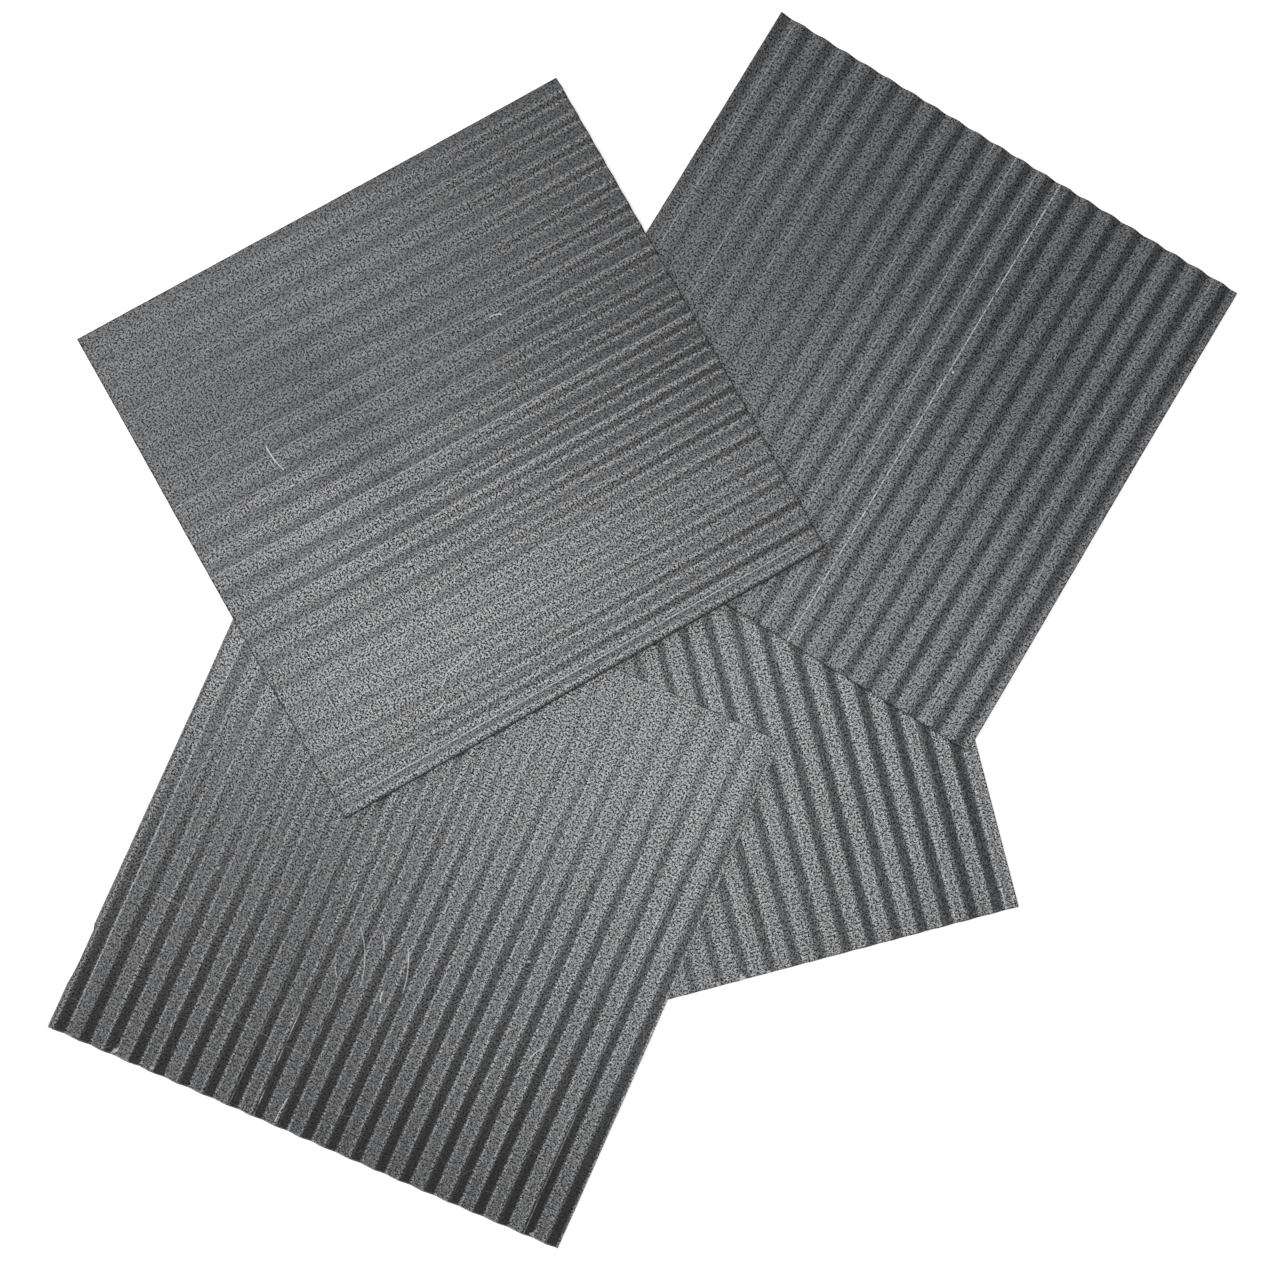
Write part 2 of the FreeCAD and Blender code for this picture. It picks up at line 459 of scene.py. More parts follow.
        index = np.arange(rows * columns).reshape(rows, columns)
        quads = np.stack([index[:-1, :-1], index[:-1, 1:], index[1:, 1:], index[1:, :-1]], -1).reshape(-1, 4)
        outline = self.rim(index)
        count = outline.size
        high = outline
        low = outline + rows * columns
        high_cut = np.arange(count) + 2 * rows * columns
        low_cut = high_cut + count
        bands = []
        for top, bottom in ((high, high_cut), (high_cut, low_cut), (low_cut, low)):
            bands.append(np.stack([top, bottom, np.roll(bottom, -1), np.roll(top, -1)], -1))
        handed = np.cross(np.append(self.across, 0), np.append(self.along, 0))[2] > 0
        faces = np.concatenate([quads, (quads + rows * columns)[:, ::-1]] + bands)
        if not handed:
            faces = faces[:, ::-1]

        mesh = bpy.data.meshes.new(self.node)
        mesh.from_pydata(points.tolist(), [], faces.tolist())
        places = np.concatenate([
            np.stack([face_across, face_along], -1).reshape(-1, 2),
            np.stack([face_across, face_along], -1).reshape(-1, 2),
            np.stack([rim_across, rim_along], -1),
            np.stack([rim_across, rim_along], -1),
        ])
        self.mark(mesh, places, rows * columns)
        mesh.shade_smooth()
        mesh.set_sharp_from_angle(angle=self.crease_angle)
        mesh.validate()
        mat = bpy.data.objects.new("ribbed_" + self.node, mesh)
        bpy.context.scene.collection.objects.link(mat)
        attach(mat, self.body)
        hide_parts(self.node)
        return mat

    def mark(self, mesh: bpy.types.Mesh, places: np.ndarray, upper_count: int) -> None:
        """Stores what the finish reads: the place on the sheet, folds, cut edges and relief.

        Args:
            mesh: The mat's mesh.
            places: Distances across from the first valley and along, for each point.
            upper_count: How many of the points belong to the upper face.
        """
        layer = mesh.uv_layers.new(name="sheet")
        corners = np.empty(len(mesh.loops), dtype=np.int32)
        mesh.loops.foreach_get("vertex_index", corners)
        layer.data.foreach_set("uv", (places[corners] / MM / UV_UNIT).astype(np.float32).ravel())

        rib = np.round((places[:, 0] - self.wear.fold_shift) / self.section.pitch).astype(int)
        rng = np.random.default_rng(self.wear.seed + 100)
        stray = rng.uniform(0, 1, RIB_SLOTS) ** 3 * self.wear.stray_fold_strength
        strength = stray[rib % RIB_SLOTS]
        share = places[:, 1] / (self.length / 2)
        patchy = rng.uniform(0, 1, FOLD_PATCHES)
        for line in self.wear.fold_lines:
            here = (rib == line.rib) & (share >= line.start) & (share <= line.end)
            patch = np.round(places[:, 1] / self.fold_patch).astype(int) + line.rib * 131
            kept = np.where(patchy[patch % FOLD_PATCHES] < line.broken, self.broken_fold_tone, 1.0)
            strength = np.where(here, line.strength * kept, strength)
        fold = strength.copy()
        fold[upper_count:] = 0.0
        from_side = self.width / 2 - np.abs(places[:, 0] + self.first_valley - self.width / 2)
        edge = np.minimum(from_side, self.length / 2 - np.abs(places[:, 1]))
        near_edge = np.clip(1 - edge / self.edge_reach, 0, 1)
        relief = self.relief(places[:, 0], places[:, 1])
        for name, values in (("relief", relief), ("fold", fold), ("edge", near_edge)):
            attribute = mesh.attributes.new(name, "FLOAT", "POINT")
            attribute.data.foreach_set("value", values.astype(np.float32))


# --------------------------------------------------------------------------------------
# shader expressions
# --------------------------------------------------------------------------------------

Number = Union["Value", float, int]


class Value:
    """A number on a shader's socket, with arithmetic that adds Math nodes."""

    def __init__(self, graph: "Graph", socket: bpy.types.NodeSocket) -> None:
        """Keeps the graph and the socket that gives the number."""
        self.graph = graph
        self.socket = socket

    def __add__(self, other: Number) -> "Value":
        """Sum."""
        return self.graph.math("ADD", self, other)

    def __radd__(self, other: Number) -> "Value":
        """Sum, with the number first."""
        return self.graph.math("ADD", other, self)

    def __sub__(self, other: Number) -> "Value":
        """Difference."""
        return self.graph.math("SUBTRACT", self, other)

    def __rsub__(self, other: Number) -> "Value":
        """Difference, with the number first."""
        return self.graph.math("SUBTRACT", other, self)

    def __mul__(self, other: Number) -> "Value":
        """Product."""
        return self.graph.math("MULTIPLY", self, other)

    def __rmul__(self, other: Number) -> "Value":
        """Product, with the number first."""
        return self.graph.math("MULTIPLY", other, self)

    def __truediv__(self, other: Number) -> "Value":
        """Quotient."""
        return self.graph.math("DIVIDE", self, other)

    def __rtruediv__(self, other: Number) -> "Value":
        """Quotient, with the number first."""
        return self.graph.math("DIVIDE", other, self)

    def __pow__(self, other: Number) -> "Value":
        """Power."""
        return self.graph.math("POWER", self, other)

    def __abs__(self) -> "Value":
        """Size without sign."""
        return self.graph.math("ABSOLUTE", self)

    def clamped(self) -> "Value":
        """The number held between 0 and 1."""
        return self.graph.math("ADD", self, 0.0, clamp=True)

    def larger(self, other: Number) -> "Value":
        """The larger of two numbers."""
        return self.graph.math("MAXIMUM", self, other)

    def ramp(self, low: float, high: float) -> "Value":
        """0 at low, 1 at high and straight between them; low may be above high."""
        return self.graph.math("MULTIPLY", self - low, 1.0 / (high - low), clamp=True)


class Graph:
    """The node tree of one finish, or of the room's light."""

    def __init__(self, owner: Union[bpy.types.Material, bpy.types.World], output: str) -> None:
        """Empties the tree of a material or a world and adds its output, of the given type."""
        owner.use_nodes = True
        self.tree = owner.node_tree
        self.tree.nodes.clear()
        self.output = self.node(output)

    def show(self, shader: bpy.types.Node) -> None:
        """Links a shader to the output."""
        self.tree.links.new(shader.outputs[0], self.output.inputs[0])

    def node(self, kind: str, settings: Optional[dict[str, Any]] = None,
             inputs: Optional[dict[Union[str, int], Any]] = None) -> bpy.types.Node:
        """Adds a node.

        Args:
            kind: The node's type.
            settings: Its own settings, set first.
            inputs: Values or links for its sockets, by name or number.

        Returns:
            The new node.
        """
        made = self.tree.nodes.new(kind)
        for key, value in (settings or {}).items():
            setattr(made, key, value)
        for key, value in (inputs or {}).items():
            socket = made.inputs[key]
            source = value.socket if isinstance(value, Value) else value
            if isinstance(source, bpy.types.NodeSocket):
                self.tree.links.new(source, socket)
            else:
                socket.default_value = source
        return made

    def math(self, operation: str, first: Number, second: Number = 0.0, clamp: bool = False) -> Value:
        """Adds one Math node and gives its result."""
        made = self.node("ShaderNodeMath", {"operation": operation, "use_clamp": clamp}, {0: first, 1: second})
        return Value(self, made.outputs[0])

    def attribute(self, name: str) -> Value:
        """A number stored on the mesh."""
        made = self.node("ShaderNodeAttribute", {"attribute_type": "GEOMETRY", "attribute_name": name})
        return Value(self, made.outputs["Fac"])

    def sheet_place(self, across_unit: float = 1.0, along_unit: float = 1.0,
                    shift: float = 0.0) -> bpy.types.NodeSocket:
        """The place on the sheet as a vector.

        Args:
            across_unit: The vector's unit across the ribs, in millimetres.
            along_unit: Its unit along the ribs, in millimetres.
            shift: Moves the place, so that two noises differ.

        Returns:
            The vector's socket.
        """
        place = self.node("ShaderNodeUVMap", {"uv_map": "sheet"}).outputs[0]
        scale = (UV_UNIT / across_unit, UV_UNIT / along_unit, 1.0)
        sized = self.node("ShaderNodeVectorMath", {"operation": "MULTIPLY"}, {0: place, 1: scale})
        moved = self.node("ShaderNodeVectorMath", {"operation": "ADD"},
                          {0: sized.outputs[0], 1: (shift, shift * 0.7, shift)})
        return moved.outputs[0]

    def noise(self, place: bpy.types.NodeSocket, detail: float = 2.0, roughness: float = 0.5) -> Value:
        """Smooth noise over a place whose unit is the noise's grain.

        Args:
            place: The vector that it is read at.
            detail: How many finer layers it has.
            roughness: How strong they are.

        Returns:
            0 to 1.
        """
        made = self.node("ShaderNodeTexNoise", {"noise_dimensions": "3D"},
                         {"Vector": place, "Scale": 1.0, "Detail": detail, "Roughness": roughness})
        return Value(self, made.outputs["Fac"])

    def mix(self, factor: Number, first: Any, second: Any) -> bpy.types.NodeSocket:
        """Mixes two colours, each a socket or red, green, blue and alpha."""
        made = self.node("ShaderNodeMix", {"data_type": "RGBA"}, {0: factor, 6: first, 7: second})
        return made.outputs[2]

    def bump(self, height: Value, depth: float, strength: float,
             under: Optional[bpy.types.NodeSocket] = None) -> bpy.types.NodeSocket:
        """A bumped normal.

        Args:
            height: The relief, from 0 to 1.
            depth: How deep that is, in metres.
            strength: How much of it counts.
            under: A normal that it is laid over.

        Returns:
            The normal's socket.
        """
        inputs: dict[Union[str, int], Any] = {"Strength": strength, "Distance": depth, "Height": height}
        if under is not None:
            inputs["Normal"] = under
        return self.node("ShaderNodeBump", {}, inputs).outputs[0]


# --------------------------------------------------------------------------------------
# finishes
# --------------------------------------------------------------------------------------


@dataclass(frozen=True)
class ShortMarks:
    """A scatter of fine short scratches: size of their cells, width, share of cells, strength."""

    cell: float
    width: float
    share: float
    strength: float
    shift: float = 0.0


@dataclass(frozen=True)
class GrainedSheetFinish:
    """Matt black plastic sheet with a pebbled grain, greyed by scuffs, folds and scratches.

    Lengths are in millimetres, but for the two bump depths, which are in metres.
    """

    name: str
    wear: MatWear
    first_valley: float
    half_length: float = 165.0
    dark: tuple[float, float, float, float] = (0.002, 0.0021, 0.0023, 1.0)
    grey: tuple[float, float, float, float] = (0.122, 0.128, 0.139, 1.0)
    pale: tuple[float, float, float, float] = (0.50, 0.51, 0.52, 1.0)
    grain: float = 1.15
    pebble: float = 2.6
    pitch: float = 15.9
    streak: tuple[float, float] = (1.3, 90.0)
    broad: tuple[float, float] = (70.0, 110.0)
    cloud: tuple[float, float] = (14.0, 22.0)
    grain_depth: float = 0.45 * MM
    streak_depth: float = 0.06 * MM
    roughness: float = 0.37
    shine: float = 0.95
    ior: float = 1.5
    pit_roughness: float = 0.8
    pit_shine: float = 0.1
    # Painted shade on the falling rib flanks: where it fades out along the ribs, how dark it gets, and where on
    # each rib it is centred.
    flank_shade_end: float = 160.0
    flank_shade_depth: float = 0.95
    flank_middle: float = 0.75
    fold_width: float = 0.48
    rim_chips: float = 0.4
    long_marks: ShortMarks = ShortMarks(cell=23.0, width=0.16, share=0.30, strength=0.35)
    fine_marks: ShortMarks = ShortMarks(cell=9.0, width=0.13, share=0.16, strength=0.30, shift=5.0)

    @staticmethod
    def paler(marks: list[Value], nothing: Value) -> Value:
        """The palest of some marks at each place.

        Args:
            marks: How pale each mark makes a place.
            nothing: A value of 0, given back if there are no marks.

        Returns:
            The largest of them.
        """
        palest = nothing
        for mark in marks:
            palest = palest.larger(mark)
        return palest

    def scratches(self, across: Value, along: Value) -> Value:
        """How pale each of the mat's own scratches makes a place.

        Args:
            across: Distance across from the mat's corner.
            along: Distance along its ribs from that corner.

        Returns:
            0 to 1.
        """
        marks = []
        for scratch in self.wear.scratches:
            x, y, radius, toward_x, toward_y, reach = scratch.arc()
            dx, dy = across - x, along - y
            distance = (dx * dx + dy * dy) ** 0.5
            line = abs(distance - radius).ramp(scratch.width, scratch.width * 0.25)
            forward = dx * toward_x + dy * toward_y
            inside = (forward - distance * reach).ramp(0.0, (1 - reach) * radius * 0.3)
            marks.append(line * inside * scratch.strength)
        return self.paler(marks, across * 0.0)

    def chips(self, across: Value, along: Value, ragged: Value) -> Value:
        """How pale each of the mat's own chips makes a place.

        Args:
            across: Distance across from the mat's corner.
            along: Distance along its ribs from that corner.
            ragged: A noise that makes the chips' outlines uneven.

        Returns:
            0 to 1.
        """
        marks = []
        for spot in self.wear.spots:
            dx, dy = across - spot.across, along - spot.along
            distance = (dx * dx + dy * dy) ** 0.5 + (ragged - 0.5) * spot.radius * 2.4
            marks.append(distance.ramp(spot.radius, spot.radius * 0.55) * spot.strength)
        return self.paler(marks, across * 0.0)

    def short_marks(self, graph: Graph, kind: ShortMarks) -> Value:
        """Fine short scratches, at most one in each cell, each with its own direction.

        Args:
            graph: The finish's tree.
            kind: How large, how many and how strong they are.

        Returns:
            0 to the scratches' strength.
        """
        place = graph.sheet_place(kind.cell, kind.cell, self.wear.seed + kind.shift)
        cells = graph.node("ShaderNodeTexVoronoi", {"voronoi_dimensions": "2D"},
                           {"Vector": place, "Scale": 1.0})
        offset = graph.node("ShaderNodeVectorMath", {"operation": "SUBTRACT"},
                            {0: place, 1: cells.outputs["Position"]})
        parts = graph.node("ShaderNodeSeparateXYZ", {}, {0: offset.outputs[0]})
        colour = graph.node("ShaderNodeSeparateColor", {}, {0: cells.outputs["Color"]})
        turn = Value(graph, colour.outputs[0]) * FULL_TURN
        chance = Value(graph, colour.outputs[1])
        x, y = Value(graph, parts.outputs[0]), Value(graph, parts.outputs[1])
        cosine, sine = graph.math("COSINE", turn), graph.math("SINE", turn)
        lengthwise = x * cosine + y * sine
        sideways = y * cosine - x * sine + lengthwise * lengthwise * 0.3
        thin = kind.width / kind.cell
        line = abs(sideways).ramp(thin, thin * 0.2)
        end = abs(lengthwise).ramp(0.36, 0.2)
        return line * end * chance.ramp(1 - kind.share, 1 - kind.share * 0.4) * kind.strength

    def painted_flank_shade(self, graph: Graph, across: Value, along: Value) -> Value:
        """How strongly painted shade darkens the falling sides of the ribs that still stand up.

        Args:
            graph: The finish's tree.
            across: Distance across from the first valley.
            along: Distance along from the mat's middle.

        Returns:
            0 and up.
        """
        step = graph.math("FRACT", (across - self.wear.rib_shift / MM) / self.pitch)
        flank_shade = (along * -1.0).ramp(self.wear.flank_shade_start, self.flank_shade_end) * self.wear.flank_shade_at_start
        flank_shade = flank_shade + along.ramp(self.wear.flank_shade_start, self.flank_shade_end) * self.wear.flank_shade_at_end
        flank_shade = flank_shade * abs(step - self.flank_middle).ramp(self.wear.flank_shade_reach, self.wear.flank_shade_reach - 0.1)
        return flank_shade * (graph.attribute("relief") * 2.3).clamped()

    def pale_marks(self, graph: Graph, across: Value, along: Value, grain: Value, pebble: Value) -> Value:
        """How pale a place is from scratches, chips, chipped edges and fold lines together.

        Args:
            graph: The finish's tree.
            across: Distance across from the first valley.
            along: Distance along from the mat's middle.
            grain: The fine noise.
            pebble: The coarser noise.

        Returns:
            0 to 1.
        """
        from_side, from_end = across + self.first_valley, along + self.half_length
        pale = self.short_marks(graph, self.long_marks).larger(self.short_marks(graph, self.fine_marks))
        pale = pale.larger(self.scratches(from_side, from_end) * grain.ramp(0.2, 0.42))
        pale = pale.larger(self.chips(from_side, from_end, pebble))
        edge = graph.attribute("edge")
        rim = (edge - 1.0 + (pebble - 0.5) * 1.8 + (grain - 0.5) * 1.4).ramp(0.3, 0.6) * self.rim_chips
        patch = graph.noise(graph.sheet_place(2.2, 5.0, self.wear.seed + 23.3), 1.0)
        from_valley = graph.math("PINGPONG", across - self.wear.fold_shift / MM, self.pitch / 2)
        fold = from_valley.ramp(self.fold_width, 0.15) * graph.attribute("fold")
        fold = fold * (patch * 2.2 + grain * 1.4 - 0.9).clamped()
        return pale.larger(rim).larger(fold).clamped()

    def dress(self, mat: bpy.types.Object) -> None:
        """Gives a mat its finish."""
        material = bpy.data.materials.new(self.name)
        graph = Graph(material, "ShaderNodeOutputMaterial")
        seed = float(self.wear.seed)
        parts = graph.node("ShaderNodeSeparateXYZ", {}, {0: graph.sheet_place()})
        across, along = Value(graph, parts.outputs[0]), Value(graph, parts.outputs[1])

        grain = graph.noise(graph.sheet_place(self.grain, self.grain, seed), 2.0, 0.6)
        pebble = graph.noise(graph.sheet_place(self.pebble, self.pebble, seed + 3.1), 1.0)
        streak = graph.noise(graph.sheet_place(*self.streak, seed + 7.7), 2.0, 0.6)
        broad = graph.noise(graph.sheet_place(*self.broad, seed + 11.3), 2.0)
        cloud = graph.noise(graph.sheet_place(*self.cloud, seed + 17.9), 2.0)
        specks = grain.ramp(0.47, 0.37)
        # Painted shade on the falling rib flanks.
        flank_shade = self.painted_flank_shade(graph, across, along)
        # Mask of the tone line along the cut edges, a painted shadow when the rim tone is below 0.
        rim_shadow_and_pale_line = graph.attribute("edge").ramp(0.70, 0.88) * abs(self.wear.rim_shadow_and_pale_tone)
        pale = self.pale_marks(graph, across, along, grain, pebble)

        coarse = self.wear.coarseness
        tone = (grain - 0.5) * (6.0 * coarse) + (pebble - 0.5) * (1.5 * coarse) + (streak - 0.5) * 1.2
        tone = tone - specks * 0.35 + (broad - 0.5) * 0.3 + (cloud - 0.5) * 0.3 + self.wear.greyness
        colour = graph.mix(tone.clamped(), self.dark, self.grey)
        # Painted shade darkens the falling rib flanks.
        colour = graph.mix((flank_shade * self.flank_shade_depth).clamped(), colour, self.dark)
        # Painted shadow line along the cut edges when the rim tone is below 0, a paler line when above 0.
        colour = graph.mix(rim_shadow_and_pale_line, colour, self.dark if self.wear.rim_shadow_and_pale_tone < 0 else self.pale)
        colour = graph.mix(pale, colour, self.pale)

        normal = graph.bump(grain * 0.6 + pebble * 0.4 - pale * 0.25 - specks * 0.3, self.grain_depth, 0.75)
        normal = graph.bump(streak, self.streak_depth, 0.35, normal)
        rough = self.roughness - (grain - 0.5) * self.wear.shine_grain + specks * 0.34
        rough = rough + (cloud - 0.5) * 0.08 + pale * 0.12 + flank_shade * 0.38 + rim_shadow_and_pale_line * 0.4
        sheet = graph.node("ShaderNodeBsdfPrincipled", {}, {
            "Base Color": colour, "Roughness": rough.clamped(), "Normal": normal, "IOR": self.ior,
            "Specular IOR Level": self.shine})
        pit = graph.node("ShaderNodeBsdfPrincipled", {}, {
            "Base Color": self.dark, "Roughness": self.pit_roughness, "IOR": self.ior,
            "Specular IOR Level": self.pit_shine})
        # Pits are also denser under the painted flank shade.
        pitted = (specks * (self.wear.pits + flank_shade * 0.15)).clamped()
        graph.show(graph.node("ShaderNodeMixShader", {}, {0: pitted, 1: sheet.outputs[0], 2: pit.outputs[0]}))
        mat.data.materials.clear()
        mat.data.materials.append(material)


@dataclass(frozen=True)
class PaleFloorFinish:
    """A plain white floor that keeps a soft shadow of what stands on it."""

    name: str = "pale_floor"
    colour: tuple[float, float, float, float] = (0.80, 0.80, 0.80, 1.0)
    glow: float = 0.38
    glow_rises: tuple[float, float] = (0.7, 2.4)

    def dress(self, floor: bpy.types.Object) -> None:
        """Gives the floor its finish."""
        material = bpy.data.materials.new(self.name)
        graph = Graph(material, "ShaderNodeOutputMaterial")
        path = graph.node("ShaderNodeLightPath")
        seen = Value(graph, path.outputs["Is Camera Ray"])
        seen = seen.larger(Value(graph, path.outputs["Is Glossy Ray"]))
        place = graph.node("ShaderNodeNewGeometry").outputs["Position"]
        far = graph.node("ShaderNodeVectorMath", {"operation": "LENGTH"}, {0: place}).outputs["Value"]
        glow_here = Value(graph, far).ramp(*self.glow_rises) * (1.0 - self.glow) + self.glow
        shader = graph.node("ShaderNodeBsdfDiffuse", {}, {"Color": self.colour})
        glow = graph.node("ShaderNodeEmission", {}, {"Color": WHITE, "Strength": seen * glow_here})
        graph.show(graph.node("ShaderNodeAddShader", {}, {0: shader.outputs[0], 1: glow.outputs[0]}))
        floor.data.materials.append(material)


# --------------------------------------------------------------------------------------
# floor, light and camera
# --------------------------------------------------------------------------------------


@dataclass(frozen=True)
class Softbox:
    """A square studio lamp that faces the pile."""

    name: str
    place: tuple[float, float, float]
    size: float
    power: float
    aim: tuple[float, float, float] = (0.0, 0.0, 0.0)

    def build(self) -> None:
        """Hangs the lamp."""
        lamp = bpy.data.lights.new(self.name, "AREA")
        lamp.shape = "SQUARE"
        lamp.size = self.size
        lamp.energy = self.power
        hung = bpy.data.objects.new(self.name, lamp)
        bpy.context.scene.collection.objects.link(hung)
        hung.location = self.place
        direction = Vector(self.aim) - Vector(self.place)
        hung.rotation_euler = direction.to_track_quat("-Z", "Y").to_euler()


@dataclass(frozen=True)
class Studio:
    """The floor, the lamps and the room's own light."""

    floor_size: float = 40.0
    floor_gap: float = 0.2 * MM
    room: float = 0.056
    softboxes: tuple[Softbox, ...] = (
        Softbox("left_softbox", (-1.5, 0.85, 1.2), 1.6, 21.0),
        Softbox("overhead_softbox", (-0.14, -0.14, 1.8), 1.4, 25.0),
        Softbox("middle_softbox", (0.04, -0.22, 1.9), 0.7, 7.0),
    )

    def build(self) -> None:
        """Lays the floor, hangs the lamps and sets the room's light."""
        self.lay_floor()
        for softbox in self.softboxes:
            softbox.build()
        self.light_room()

    def lay_floor(self) -> None:
        """Lays one plain square of floor under the pile."""
        half = self.floor_size / 2
        mesh = bpy.data.meshes.new("floor")
        corners = [(-half, -half, 0), (half, -half, 0), (half, half, 0), (-half, half, 0)]
        mesh.from_pydata(corners, [], [(0, 1, 2, 3)])
        floor = bpy.data.objects.new("floor", mesh)
        bpy.context.scene.collection.objects.link(floor)
        floor.location.z = -self.floor_gap
        PaleFloorFinish().dress(floor)

    def light_room(self) -> None:
        """Sets an even, weak light from all round, and a white sky behind everything."""
        room = bpy.data.worlds.new("room")
        bpy.context.scene.world = room
        graph = Graph(room, "ShaderNodeOutputWorld")
        seen = graph.node("ShaderNodeLightPath").outputs["Is Camera Ray"]
        weak = graph.node("ShaderNodeBackground", {}, {"Color": WHITE, "Strength": self.room})
        white = graph.node("ShaderNodeBackground", {}, {"Color": WHITE, "Strength": 1.0})
        graph.show(graph.node("ShaderNodeMixShader", {}, {0: seen, 1: weak.outputs[0], 2: white.outputs[0]}))


@dataclass(frozen=True)
class OverheadCamera:
    """A camera that looks almost straight down on the pile."""

    height: float = 1.2
    lens: float = 55.75
    tilt_forward: float = -0.03837
    tilt_sideways: float = 0.04855
    off_middle: tuple[float, float] = (0.0092, 0.0112)
    film_width: float = 36.0

    def build(self) -> None:
        """Places the camera and makes it the scene's own."""
        data = bpy.data.cameras.new("overhead")
        data.lens = self.lens
        data.sensor_width = self.film_width
        camera = bpy.data.objects.new("overhead", data)
        bpy.context.scene.collection.objects.link(camera)
        forward = Matrix.Rotation(self.tilt_forward, 3, "X")
        turn = (forward @ Matrix.Rotation(self.tilt_sideways, 3, "Y")).inverted()
        place = turn @ Vector((0, 0, self.height)) - Vector((*self.off_middle, 0))
        camera.matrix_world = Matrix.Translation(place) @ turn.to_4x4()
        bpy.context.scene.camera = camera


# --------------------------------------------------------------------------------------
# the pile
# --------------------------------------------------------------------------------------


@dataclass
class MatPile:
    """The four mats, from the bottom one up."""

    mats: list[TractionMat] = field(default_factory=list)

    def lay(self) -> None:
        """Sets out the mats, each over those that it lies on."""
        bottom = TractionMat(node="bottom_mat", body="bottom", rib_heading=104.4,
                             first_valley=4.7 * MM, wear=BOTTOM_WEAR)
        left = TractionMat(node="left_mat", body="left", rib_heading=66.1,
                           first_valley=7.8 * MM, wear=LEFT_WEAR, below=[bottom])
        right = TractionMat(node="right_mat", body="right", rib_heading=58.85,
                            first_valley=10.0 * MM, wear=RIGHT_WEAR, below=[bottom])
        top = TractionMat(node="top_mat", body="top", rib_heading=29.55,
                          first_valley=6.0 * MM, wear=TOP_WEAR, below=[bottom, left, right])
        self.mats = [bottom, left, right, top]

    def build(self) -> None:
        """Builds and dresses every mat."""
        for mat in self.mats:
            piece = mat.build()
            GrainedSheetFinish(mat.node + "_finish", mat.wear, mat.first_valley / MM).dress(piece)
            LOG.info("%s: %d faces", piece.name, len(piece.data.polygons))


BOTTOM_WEAR = MatWear(
    seed=11,
    relief_at_start=(0.4, 0.4, 0.4, 0.45, 0.6, 0.95),
    relief_at_end=(0.45, 0.45, 0.45, 0.45, 0.45, 0.55),
    softness=0.85,
    flank_shade_at_start=0.12,
    greyness=0.36,
    rib_shift=-1.3 * MM,
    stray_fold_strength=0.06,
    fold_lines=(FoldLine(10, 0.25), FoldLine(11, 0.3), FoldLine(12, 0.3), FoldLine(13, 0.25), FoldLine(16, 0.3),
                FoldLine(18, 0.3), FoldLine(20, 0.45, 0.4, -1.0, -0.6)),
    scratches=(Scratch((167.7, 37), (165.7, 55), 1.5, 0.35, 0.4), Scratch((312.7, 13), (310.7, 25), 1.0, 0.3, 0.4)),
    spots=(PaleSpot(141.7, 1, 1.6), PaleSpot(156.7, 1, 2.6), PaleSpot(172.7, 1, 1.4)),
)
LEFT_WEAR = MatWear(
    seed=23,
    relief_at_start=(1.0, 1.0, 1.0, 1.0, 1.0, 1.0),
    relief_at_end=(0.6, 0.4, 0.35, 0.25, 0.2, 0.2),
    softness=0.35,
    flank_shade_at_start=1.2,
    rim_shadow_and_pale_tone=0.25,
    rib_shift=3.3 * MM,
    fold_shift=-2.7 * MM,
    stray_fold_strength=0.1,
    fold_lines=(FoldLine(7, 0.2), FoldLine(8, 0.75, 0.6, -1.0, 0.25),
                FoldLine(9, 0.55, 0.6, -1.0, 0.3), FoldLine(11, 0.3, 0.7, -1.0, -0.2), FoldLine(19, 0.35, 0.2)),
    scratches=(
        Scratch((11.2, 0), (11.2, 330), 0.3, 0.45, 0.42),
        Scratch((183.6, 101.4), (174.9, 129), -1.6, 0.5, 0.85),
        Scratch((174, 91.5), (172.5, 99), 0.6, 0.6, 1.0),
        Scratch((159, 94.5), (144, 128.4), -3.0, 0.4, 0.7),
        Scratch((164.4, 115.5), (157.5, 130.5), -1.2, 0.4, 0.7),
        Scratch((144, 95.4), (139.8, 102), 0.5, 0.4, 0.75),
        Scratch((268.5, 95.4), (273.6, 106.5), 1.0, 0.45, 0.85),
        Scratch((243, 109.5), (237, 124.5), -1.2, 0.3, 0.4),
        Scratch((145.5, 1.5), (147, 19.5), 0.6, 0.5, 0.7),
        Scratch((0, 97), (51, 96), 0.6, 0.3, 0.35),
        Scratch((69, 48), (168, 43.5), 0.8, 0.3, 0.25),
    ),
    spots=(PaleSpot(41.4, 2.5, 2.2), PaleSpot(66, 3, 1.2, 0.6), PaleSpot(312, 2, 1.3, 0.6),
           PaleSpot(244.5, 149.1, 0.8), PaleSpot(53, 125.5, 1.0, 0.6)),
    near_edge_bites=(Bite(-119 * MM, 34 * MM, 1.2 * MM), Bite(-104 * MM, 5 * MM, 1.6 * MM)),
)
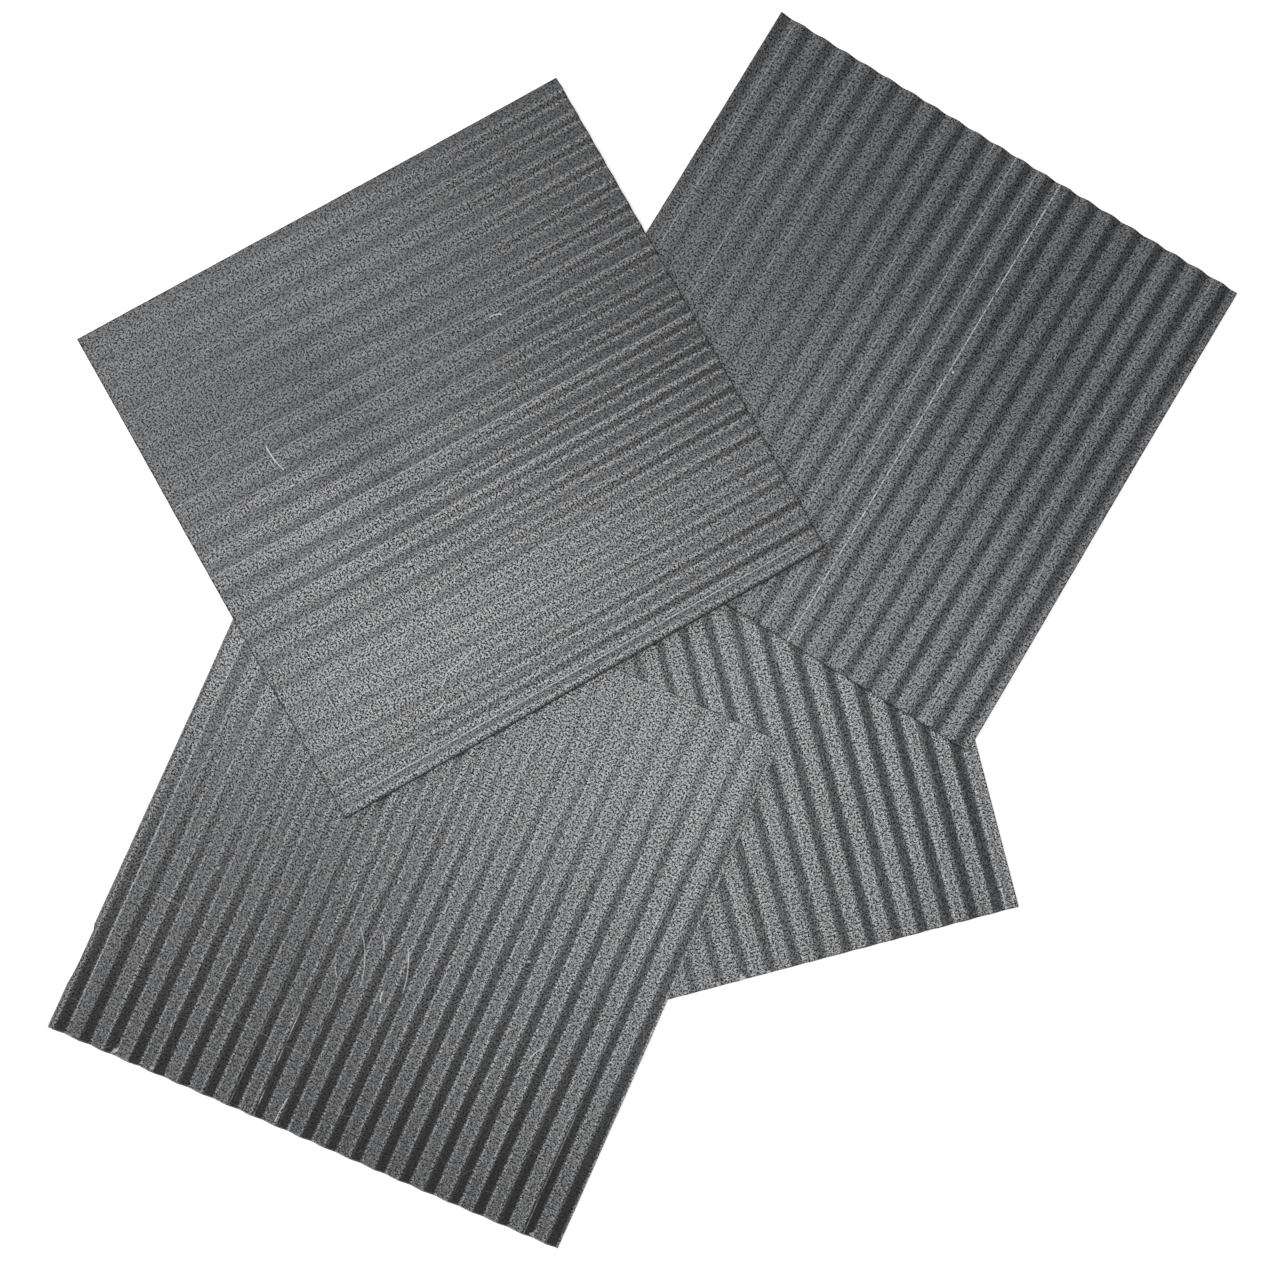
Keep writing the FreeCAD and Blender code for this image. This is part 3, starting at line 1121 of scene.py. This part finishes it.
RIGHT_WEAR = MatWear(
    seed=37,
    relief_at_start=(0.3, 0.4, 0.5, 0.6, 0.65, 0.75),
    relief_at_end=(0.85, 0.65, 0.9, 1.0, 0.9, 0.95),
    flank_shade_at_end=0.65,
    softness=0.6,
    rib_shift=-2.1 * MM,
    coarseness=1.6,
    shine_grain=-0.3,
    pits=0.75,
    greyness=0.62,
    fold_shift=0.9 * MM,
    stray_fold_strength=0.1,
    fold_lines=(FoldLine(0, 0.35), FoldLine(2, 0.32), FoldLine(3, 0.32), FoldLine(4, 0.28), FoldLine(7, 0.25),
                FoldLine(8, 0.28), FoldLine(9, 0.38), FoldLine(10, 0.48), FoldLine(11, 0.5), FoldLine(12, 0.9),
                FoldLine(13, 0.18), FoldLine(17, 0.28), FoldLine(18, 0.32), FoldLine(19, 0.32)),
    scratches=(Scratch((243, 238), (237, 226), 0.8, 0.3, 0.3),),
    spots=(PaleSpot(204, 193.5, 0.9),),
)
TOP_WEAR = MatWear(
    seed=53,
    relief_at_start=(0.12, 0.12, 0.22, 0.42, 0.15, 0.6),
    relief_at_end=(0.75, 0.75, 0.8, 0.85, 0.35, 0.5),
    coarseness=1.25,
    shine_grain=1.1,
    relief_bend=2.6,
    flank_shade_at_start=0.12,
    flank_shade_at_end=0.8,
    flank_shade_reach=0.18,
    flank_shade_start=-125.0,
    rim_shadow_and_pale_tone=-0.9,
    softness=1.0,
    rib_shift=-6.0 * MM,
    fold_shift=1.2 * MM,
    stray_fold_strength=0.05,
    fold_lines=(FoldLine(1, 0.15), FoldLine(2, 0.18), FoldLine(3, 0.15), FoldLine(6, 0.28), FoldLine(7, 0.32),
                FoldLine(8, 0.25), FoldLine(10, 0.45), FoldLine(12, 0.22)),
    scratches=(
        Scratch((321, 0), (321, 330), 0.3, 0.52, 0.65),
        Scratch((111.6, 67.2), (131.4, 69.9), -1.0, 0.57, 1.0),
        Scratch((235, 115), (240, 105.6), 1.6, 0.46, 0.78),
        Scratch((249, 106), (267, 104.4), 2.0, 0.4, 0.59),
        Scratch((279, 115.5), (283.5, 94.5), 0.9, 0.57, 1.0),
        Scratch((283.5, 94.5), (290.4, 86.4), 0.8, 0.46, 0.78),
        Scratch((297.9, 85.5), (300.6, 73.5), 0.6, 0.57, 1.0),
        Scratch((234, 43.5), (234.5, 49.5), 0.3, 0.46, 0.78),
        Scratch((109.5, 221), (111.6, 229.5), 1.2, 0.52, 0.91),
    ),
    spots=(PaleSpot(226, 22.5, 0.6), PaleSpot(103.5, 269, 0.6, 0.6)),
)


def main() -> None:
    """Builds the pile, its floor, light and camera."""
    logging.basicConfig(level=logging.INFO, format="%(name)s: %(message)s")
    pile = MatPile()
    pile.lay()
    pile.build()
    Studio().build()
    OverheadCamera().build()
    bpy.context.scene.view_settings.view_transform = "Standard"


if __name__ == "__main__":
    main()
